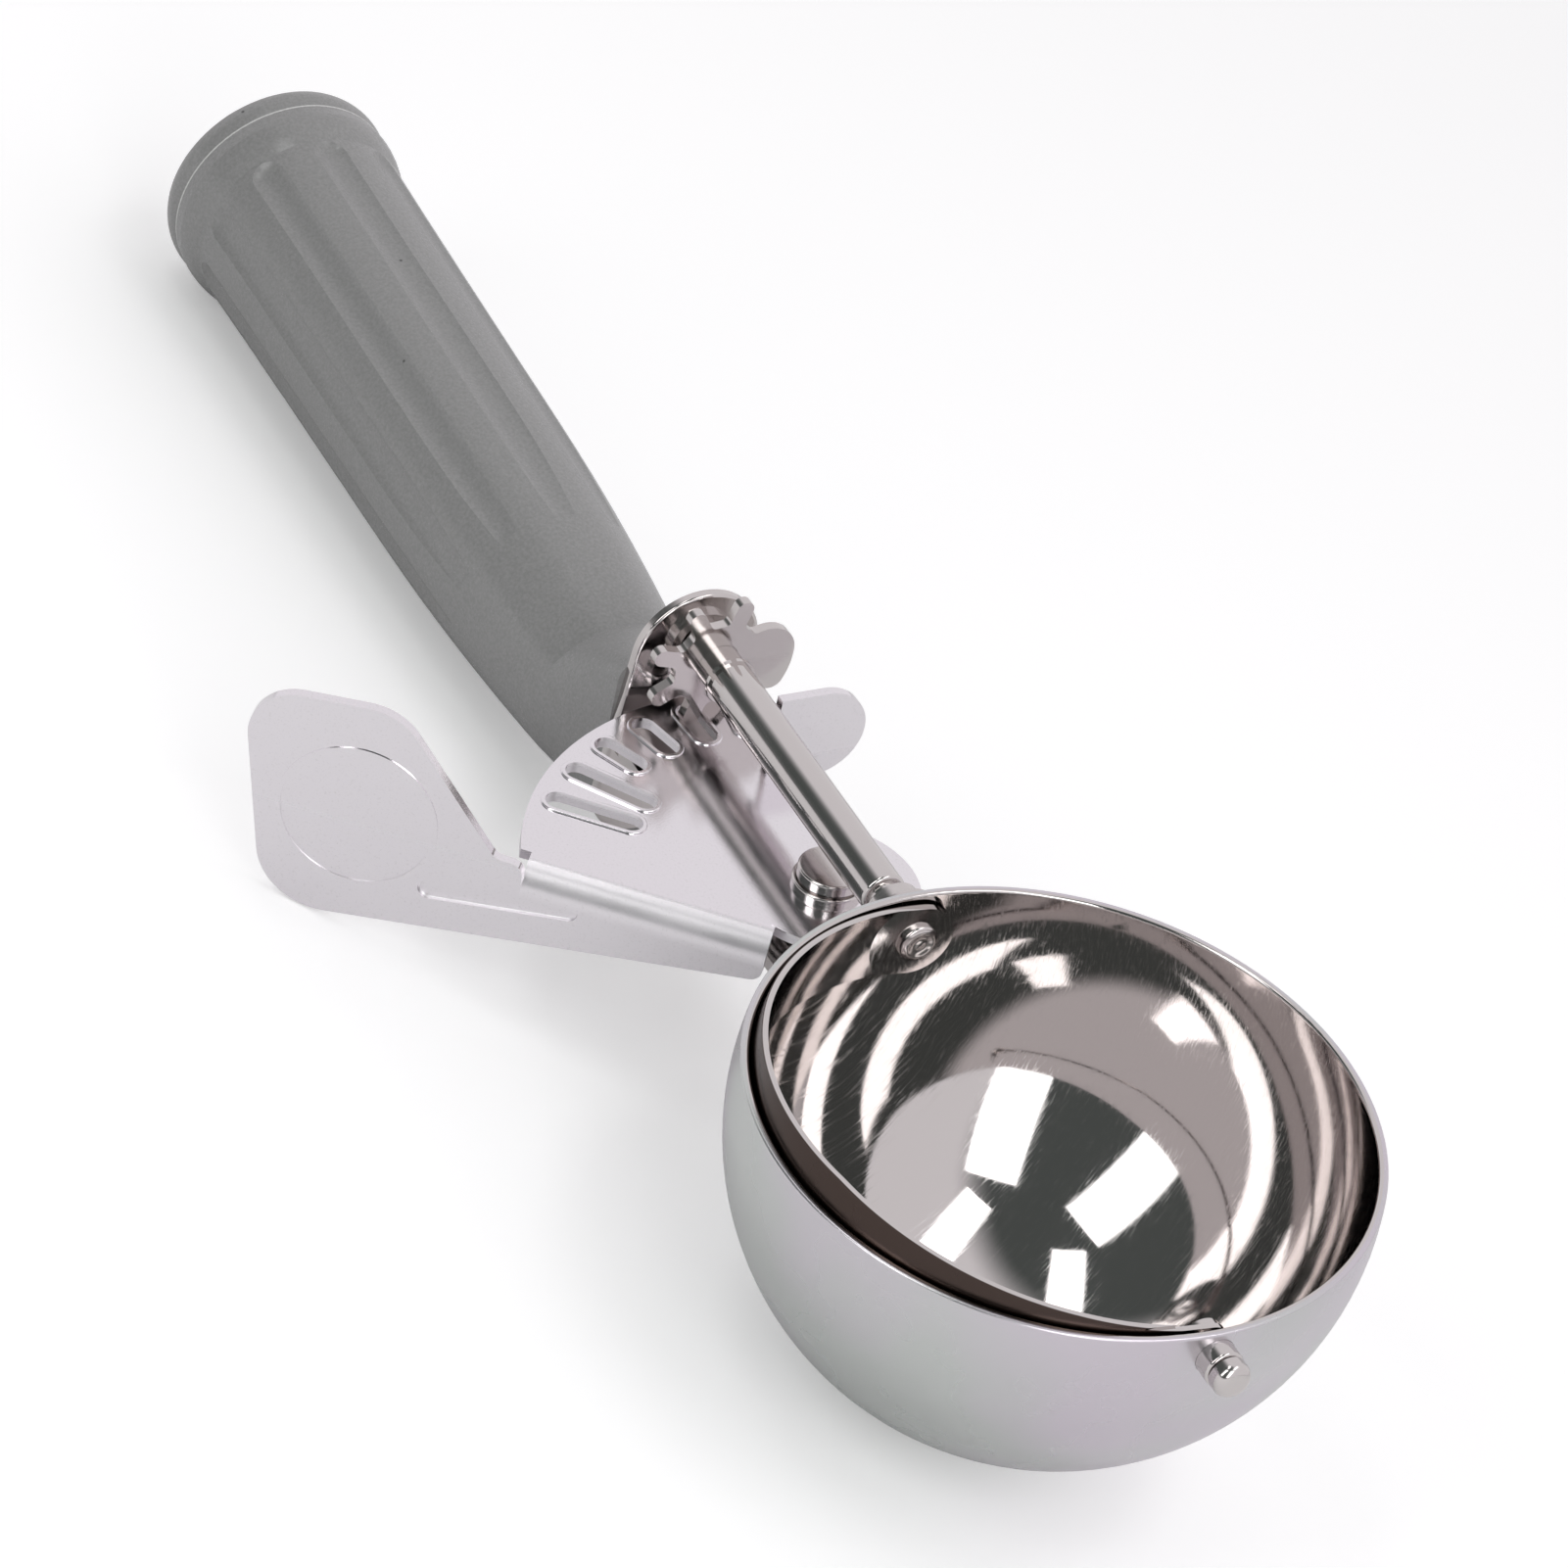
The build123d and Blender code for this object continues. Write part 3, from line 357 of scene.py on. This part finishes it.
def spread(tree, value, to, source=NOISE_SPREAD):
    """The value spread from one range, here that of noise, to another."""
    made = tree.nodes.new("ShaderNodeMapRange")
    made.inputs["From Min"].default_value = source[0]
    made.inputs["From Max"].default_value = source[1]
    made.inputs["To Min"].default_value = to[0]
    made.inputs["To Max"].default_value = to[1]
    tree.links.new(value, made.inputs["Value"])
    return made.outputs["Result"]


def blend(tree, factor, first, second):
    """Between two values that change over the surface."""
    made = tree.nodes.new("ShaderNodeMix")
    tree.links.new(factor, made.inputs["Factor"])
    tree.links.new(first, made.inputs["A"])
    tree.links.new(second, made.inputs["B"])
    return made.outputs["Result"]


def tint(tree, factor, first, second):
    """Between two colours, where the first may change over the surface too."""
    made = tree.nodes.new("ShaderNodeMix")
    made.data_type = "RGBA"
    tree.links.new(factor, made.inputs["Factor"])
    if isinstance(first, bpy.types.NodeSocket):
        tree.links.new(first, made.inputs["A"])
    else:
        made.inputs["A"].default_value = first
    made.inputs["B"].default_value = second
    return made.outputs["Result"]


def bump(tree, height, strength, distance, under=None):
    """Shading of small heights, on top of another bump if given."""
    made = tree.nodes.new("ShaderNodeBump")
    made.inputs["Strength"].default_value = strength
    made.inputs["Distance"].default_value = distance
    tree.links.new(height, made.inputs["Height"])
    if under is not None:
        tree.links.new(under, made.inputs["Normal"])
    return made.outputs["Normal"]


print("spread, blend, tint and bump make looks")

# %% [markdown]
# Most pieces are the same stainless sheet, bar and wire, so one function makes their finishes.
# They differ in how far they were polished, in the way that the polishing's lines run, and in
# how flat the sheet stayed: stamped sheet is never quite flat, and its slow waves bend the
# reflections. The waves could be modelled, but they are too low to show in the outline.

# %% Stainless steel
STEEL = (0.66, 0.625, 0.615, 1)
DULL_STEEL = (0.4, 0.39, 0.38, 1)
LINE_DETAIL = 6.0
LINE_CRISPNESS = 0.6
LINE_HEIGHT = 0.00005
SMEARS_PER_MM = 0.07
SMEAR_DETAIL = 3.0
WAVES_PER_MM = 0.06
WAVE_DETAIL = 1.0
WAVE_HEIGHT = 0.001
PRODUCT_SPREAD = (0.12, 0.42)


def steel(name, polish, lines, wave=0.0, color=STEEL, line_depth=0.02):
    """Stainless steel. polish is its lowest and highest roughness, lines the polishing's run."""
    material, tree, shader, place = new_steel(name)
    shader.inputs["Base Color"].default_value = color
    scratches = noise(tree, stretched(tree, place, lines), 1.0, LINE_DETAIL, LINE_CRISPNESS)
    smears = noise(tree, place, SMEARS_PER_MM, SMEAR_DETAIL)
    rough = spread(tree, times(tree, scratches, smears), polish, PRODUCT_SPREAD)
    tree.links.new(rough, shader.inputs["Roughness"])
    normal = bump(tree, scratches, line_depth, LINE_HEIGHT)
    if wave:
        swell = noise(tree, place, WAVES_PER_MM, WAVE_DETAIL)
        normal = bump(tree, swell, wave, WAVE_HEIGHT, normal)
    tree.links.new(normal, shader.inputs["Normal"])
    return material


FINISHES = {
    "sheet": steel("sheet_polish", (0.06, 0.16), (0.3, 6.0, 0.3), wave=0.05),
    "pinion": steel("pinion_polish", (0.08, 0.18), (0.3, 6.0, 6.0), wave=0.03),
    "shaft": steel("shaft_polish", (0.06, 0.14), (0.2, 6.0, 6.0)),
    "turned": steel("turned_bar", (0.1, 0.24), (4.0, 1.0, 1.0), line_depth=0.05),
    "wire": steel("spring_wire", (0.2, 0.35), (0.3, 6.0, 6.0), color=DULL_STEEL),
}
print("steel finishes", sorted(FINISHES))

# %% [markdown]
# The bowl is spun and polished: a bright inside with fine lines, and a satin outside, with faintly
# green and lilac patches painted on it as reflection tints. The two sides could be two
# materials, but the solid comes as one piece with one material. So the distance from the bowl's
# centre tells them apart, halfway through the wall.

# %% Bowl
WALL_MIDDLE_R = 34.5
WALL_EDGE = 0.05
BRUSHED_TOWARDS = 112
STREAK_LENGTHS = (9.0, 0.16, 1.2)
STREAK_DETAIL = 5.0
STREAK_HEIGHT = 0.00004
STREAK_DEPTH = 0.04
BRIGHT = (0.03, 0.18)
BRIGHT_SOURCE = (0.48, 0.75)
SATIN = (0.24, 0.32)
HANDLING_PER_MM = 0.06
# Painted reflection: the outside's green and lilac stand in for the tints that its satin picks up from floor
# and room, laid out in random patches.
OUTSIDE_PAINTED_GREEN_REFLECTION = (0.63, 0.65, 0.635, 1)
OUTSIDE_PAINTED_LILAC_REFLECTION = (0.68, 0.635, 0.69, 1)
PATCHES_PER_MM = 0.035
PATCH_DETAIL = 2.0
PATCH_EDGE = (0.4, 0.6)


def bowl_steel():
    """Bright inside the wall's middle, satin outside it, with painted reflection tints."""
    material, tree, shader, place = new_steel("bowl_polish")
    wall = (WALL_MIDDLE_R - WALL_EDGE, WALL_MIDDLE_R + WALL_EDGE)
    inside = spread(tree, reach(tree, place), (1.0, 0.0), wall)
    brushed = streaks(tree, place, BRUSHED_TOWARDS, STREAK_LENGTHS)
    lines = noise(tree, brushed, 1.0, STREAK_DETAIL, LINE_CRISPNESS)
    bright = spread(tree, lines, BRIGHT, BRIGHT_SOURCE)
    satin = spread(tree, noise(tree, place, HANDLING_PER_MM, SMEAR_DETAIL), SATIN)
    tree.links.new(blend(tree, inside, satin, bright), shader.inputs["Roughness"])
    # Painted reflection tints, in random patches on the outside.
    patches = noise(tree, place, PATCHES_PER_MM, PATCH_DETAIL)
    reflection_mottle = spread(tree, patches, (0.0, 1.0), PATCH_EDGE)
    outside = tint(tree, reflection_mottle, OUTSIDE_PAINTED_GREEN_REFLECTION, OUTSIDE_PAINTED_LILAC_REFLECTION)
    tree.links.new(tint(tree, inside, outside, STEEL), shader.inputs["Base Color"])
    relief = bump(tree, times(tree, lines, inside), STREAK_DEPTH, STREAK_HEIGHT)
    tree.links.new(relief, shader.inputs["Normal"])
    return material


FINISHES["bowl"] = bowl_steel()
print("finish", FINISHES["bowl"].name)

# %% [markdown]
# The scraper blade is as bright as the bowl on its inner face. Its back, which rubs along the
# bowl and sticks out above the rim at rest, is rubbed satin. Its dark brown is painted shade and
# dark reflection from the narrow gap between blade and bowl wall. As for the bowl, the
# distance from the centre tells the faces apart, and it does so wherever the blade has swept.

# %% Blade
BACK_EDGE = (33.55, 33.65)
# Painted shade: the back's dark brown stands in for the shade and dark reflections in the gap between blade
# and bowl wall.
BACK_PAINTED_SHADE_BROWN = (0.075, 0.055, 0.048, 1)
BLADE_BRIGHT = (0.03, 0.14)
BLADE_BRIGHT_SOURCE = (0.4, 0.75)
BURNISHED = (0.14, 0.3)
RUBBING_PER_MM = 0.12


def blade_steel():
    """Bright inner face, back painted dark brown as shade."""
    material, tree, shader, place = new_steel("blade_polish")
    back = spread(tree, reach(tree, place), (0.0, 1.0), BACK_EDGE)
    lines = noise(tree, streaks(tree, place, BRUSHED_TOWARDS, STREAK_LENGTHS), 1.0, STREAK_DETAIL)
    bright = spread(tree, lines, BLADE_BRIGHT, BLADE_BRIGHT_SOURCE)
    rubbed = spread(tree, noise(tree, place, RUBBING_PER_MM, SMEAR_DETAIL), BURNISHED)
    tree.links.new(blend(tree, back, bright, rubbed), shader.inputs["Roughness"])
    # The back's dark brown colour is painted shade.
    tree.links.new(tint(tree, back, STEEL, BACK_PAINTED_SHADE_BROWN), shader.inputs["Base Color"])
    tree.links.new(bump(tree, lines, STREAK_DEPTH, STREAK_HEIGHT), shader.inputs["Normal"])
    return material


FINISHES["blade"] = blade_steel()
print("finish", FINISHES["blade"].name)

# %% [markdown]
# The lever's fan is polished bright on top. Its bend, flange and thumb pad, which the hand
# touches, are satin, with fine pits. The lever is one solid too, and here the height towards the
# mouth tells its parts apart, because bend, flange and pad all lie lower than the fan's face.

# %% Lever
FAN_TOP_Z = (Vector(joints["lever_press"]["pos_m"]) - BOWL_CENTRE).dot(MOUTH) / MM
FAN_EDGE = (FAN_TOP_Z - 0.3, FAN_TOP_Z - 0.05)
LILAC = (0.88, 0.85, 0.88, 1)
PITTED = (0.76, 0.73, 0.75, 1)
FAN_LINES = (0.3, 6.0, 6.0)
FAN_BRIGHT = (0.05, 0.14)
FLANGE_SATIN = (0.3, 0.42)
PITS_PER_MM = 3.5
PIT_DETAIL = 5.0
PIT_CRISPNESS = 0.7
PIT_EDGE = (0.56, 0.72)
PIT_DEPTH = 0.12
PIT_HEIGHT = 0.00006
FAN_WAVE = 0.04


def lever_steel():
    """Bright fan, satin and pitted bend, flange and pad."""
    material, tree, shader, place = new_steel("lever_polish")
    height = tree.nodes.new("ShaderNodeSeparateXYZ")
    tree.links.new(place, height.inputs["Vector"])
    fan = spread(tree, height.outputs["Z"], (0.0, 1.0), FAN_EDGE)
    lines = noise(tree, stretched(tree, place, FAN_LINES), 1.0, LINE_DETAIL, LINE_CRISPNESS)
    pits = noise(tree, place, PITS_PER_MM, PIT_DETAIL, PIT_CRISPNESS)
    smears = noise(tree, place, SMEARS_PER_MM, SMEAR_DETAIL)
    bright = spread(tree, times(tree, lines, smears), FAN_BRIGHT, PRODUCT_SPREAD)
    satin = spread(tree, times(tree, pits, smears), FLANGE_SATIN, PRODUCT_SPREAD)
    tree.links.new(blend(tree, fan, satin, bright), shader.inputs["Roughness"])
    pitted = spread(tree, pits, (0.0, 1.0), PIT_EDGE)
    tree.links.new(tint(tree, pitted, LILAC, PITTED), shader.inputs["Base Color"])
    swell = noise(tree, place, WAVES_PER_MM, WAVE_DETAIL)
    normal = bump(tree, pits, PIT_DEPTH, PIT_HEIGHT)
    normal = bump(tree, swell, FAN_WAVE, WAVE_HEIGHT, normal)
    tree.links.new(normal, shader.inputs["Normal"])
    return material


FINISHES["lever"] = lever_steel()
print("finish", FINISHES["lever"].name)

# %% [markdown]
# The handle is moulded grey plastic, with the fine grain of its mould and a few dark specks.
# The thin flash that the mould left at its parting is the same plastic, with a pale grey painted
# on it as the highlight along its raised edge. The specks could be small pieces, but they lie in
# the surface, so round cells of a Voronoi pattern draw them.

# %% Handle
GREY = (0.275, 0.275, 0.272)
# The parting line's pale grey is a painted highlight along its raised edge.
FLASH_PAINTED_HIGHLIGHT = (0.62, 0.62, 0.61)
SPECK = (0.05, 0.05, 0.05, 1)
SPECKS_PER_MM = 0.12
SPECK_EDGE = (0.02, 0.035)
CLOUDS_PER_MM = 2.5
CLOUD_DARKEST = 0.9
CLOUD_PALEST = 1.1
GRAIN_PER_MM = 6.0
GRAIN_DETAIL = 3.0
GRAIN_DEPTH = 0.05
GRAIN_HEIGHT = 0.0001
GRIP_ROUGHNESS = (0.2, 0.28)
GRIP_SPECULAR = 0.55


def shade(grey, factor):
    """A lighter or darker colour of the same kind."""
    return [factor * value for value in grey] + [1]


def grip_plastic(name, grey):
    """Grey plastic with cloudy shading, specks and grain."""
    material, tree, shader, place = new_material(name)
    clouds = spread(tree, noise(tree, place, CLOUDS_PER_MM), (0.0, 1.0))
    cloudy = tint(tree, clouds, shade(grey, CLOUD_DARKEST), shade(grey, CLOUD_PALEST))
    cells = tree.nodes.new("ShaderNodeTexVoronoi")
    cells.inputs["Scale"].default_value = SPECKS_PER_MM
    tree.links.new(place, cells.inputs["Vector"])
    specks = spread(tree, cells.outputs["Distance"], (1.0, 0.0), SPECK_EDGE)
    tree.links.new(tint(tree, specks, cloudy, SPECK), shader.inputs["Base Color"])
    grain = noise(tree, place, GRAIN_PER_MM, GRAIN_DETAIL)
    tree.links.new(spread(tree, grain, GRIP_ROUGHNESS), shader.inputs["Roughness"])
    tree.links.new(bump(tree, grain, GRAIN_DEPTH, GRAIN_HEIGHT), shader.inputs["Normal"])
    shader.inputs["Specular IOR Level"].default_value = GRIP_SPECULAR
    return material


FINISHES["grip"] = grip_plastic("grip_grain", GREY)
FINISHES["flash"] = grip_plastic("flash_grain_painted_highlight", FLASH_PAINTED_HIGHLIGHT)
print("finishes", sorted(FINISHES))

# %% [markdown]
# Each solid now gets its finish. A solid keeps the one material slot that it came with, so the
# finish goes into that slot. Pins, rivets, bushes and hubs are all turned from bar, so they
# share one finish, and the table names only the others.

# %% Finishes for every solid
FINISH_OF = {
    "bowl": "bowl",
    "frame_strap": "sheet",
    "end_plate": "sheet",
    "handle_tang": "sheet",
    "thumb_lever": "lever",
    "pinion": "pinion",
    "scraper_blade": "blade",
    "scraper_shaft": "shaft",
    "return_spring": "wire",
    "handle_grip": "grip",
    "handle_cap": "grip",
}
for name, solid in nodes.items():
    solid.data.materials[0] = FINISHES[FINISH_OF.get(name, "turned")]
print("finished solids", len(nodes))

# %% [markdown]
# Two worked details are modelled by hand, as in Blender's own window. Both start as a circle on
# the scoop and are shaped in edit mode. Both end at the origin, unturned, with their place in
# their mesh, so that they ride on their body like a CAD solid.

# %% Begin and settle a piece


def begin(adder, name, **places):
    """A new primitive on the scoop, in edit mode and selected all over."""
    bpy.ops.object.select_all(action="DESELECT")
    adder(**places)
    made = bpy.context.object
    made.name = name
    bpy.ops.object.mode_set(mode="EDIT")
    bpy.ops.mesh.select_all(action="SELECT")
    return made


def settle(made, body, material):
    """Out of edit mode, at the origin, with its finish, and on its body."""
    bpy.ops.object.mode_set(mode="OBJECT")
    for modifier in list(made.modifiers):
        bpy.ops.object.modifier_apply(modifier=modifier.name)
    bpy.ops.object.transform_apply(location=True, rotation=True, scale=True)
    bpy.ops.object.shade_smooth()
    made.data.materials.append(material)
    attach(made, body)
    print(made.name, len(made.data.polygons), "faces")


print("pieces before these details:", len(nodes))

# %% [markdown]
# The shaft's rivet was peened over in the blade's eye, which left a raised ring round a dimple.
# Its section could be spun round an axis, but insets are simpler: a flat disc on the rivet's
# head, inset and pushed out and in again, gives the same section, and a subdivision rounds it.

# %% Peened ring on the eye rivet
RIVET_FACE_X = -31.8
PEENED_R = 2.05
RING_CORNERS = 32
RING_SECTION = ((0.25, 0.16), (0.3, 0.02), (0.35, -0.14), (0.5, -0.06), (0.3, 0.1))
RING_SMOOTHING = 2

along_shaft = SCOOP.to_3x3() @ Matrix.Rotation(radians(90), 3, "Y")
ring = begin(
    bpy.ops.mesh.primitive_circle_add, "peened_ring", vertices=RING_CORNERS,
    radius=PEENED_R * MM, fill_type="NGON", location=on_scoop(RIVET_FACE_X, 0, 0),
    rotation=along_shaft.to_euler(),
)
for inset, rise in RING_SECTION:
    bpy.ops.mesh.inset(thickness=inset * MM)
    outwards = ring.matrix_world.to_3x3() @ Vector((0, 0, rise * MM))
    bpy.ops.transform.translate(value=outwards)
rounding = ring.modifiers.new("rounding", "SUBSURF")
rounding.levels = RING_SMOOTHING
settle(ring, "scraper", FINISHES["turned"])

# %% [markdown]
# Where the handle's cap meets the grip, moulding left a thin raised line. A torus would be too
# round for it, so it starts as a circle round the handle, pulled along it into a band, which is
# then thickened outwards and rounded.

# %% Parting line of the handle
CAP_LENGTH = 8.9
PARTING_R = 13.98
LINE_CORNERS = 128
LINE_WIDTH = 0.28
LINE_THICK = 0.16
LINE_ROUNDING = LINE_THICK / 3
ROUNDING_STEPS = 2

mounts = {mount["name"]: mount for mount in frame["record"]["mounts"]}
handle_end = mounts["handle_end"]
HANDLE_OUT = Vector(handle_end["axis"]).normalized()
parting = Vector(handle_end["pos_m"]) - HANDLE_OUT * (CAP_LENGTH + LINE_WIDTH / 2) * MM
line = begin(
    bpy.ops.mesh.primitive_circle_add, "parting_line", vertices=LINE_CORNERS,
    radius=PARTING_R * MM, location=parting,
    rotation=HANDLE_OUT.to_track_quat("Z", "Y").to_euler(),
)
bpy.ops.mesh.extrude_region_move(TRANSFORM_OT_translate={"value": HANDLE_OUT * LINE_WIDTH * MM})
skin = line.modifiers.new("skin", "SOLIDIFY")
skin.thickness = LINE_THICK * MM
skin.offset = 1
soft = line.modifiers.new("soft", "BEVEL")
soft.width = LINE_ROUNDING * MM
soft.segments = ROUNDING_STEPS
# Its pale finish is a painted highlight.
settle(line, "frame", FINISHES["flash"])
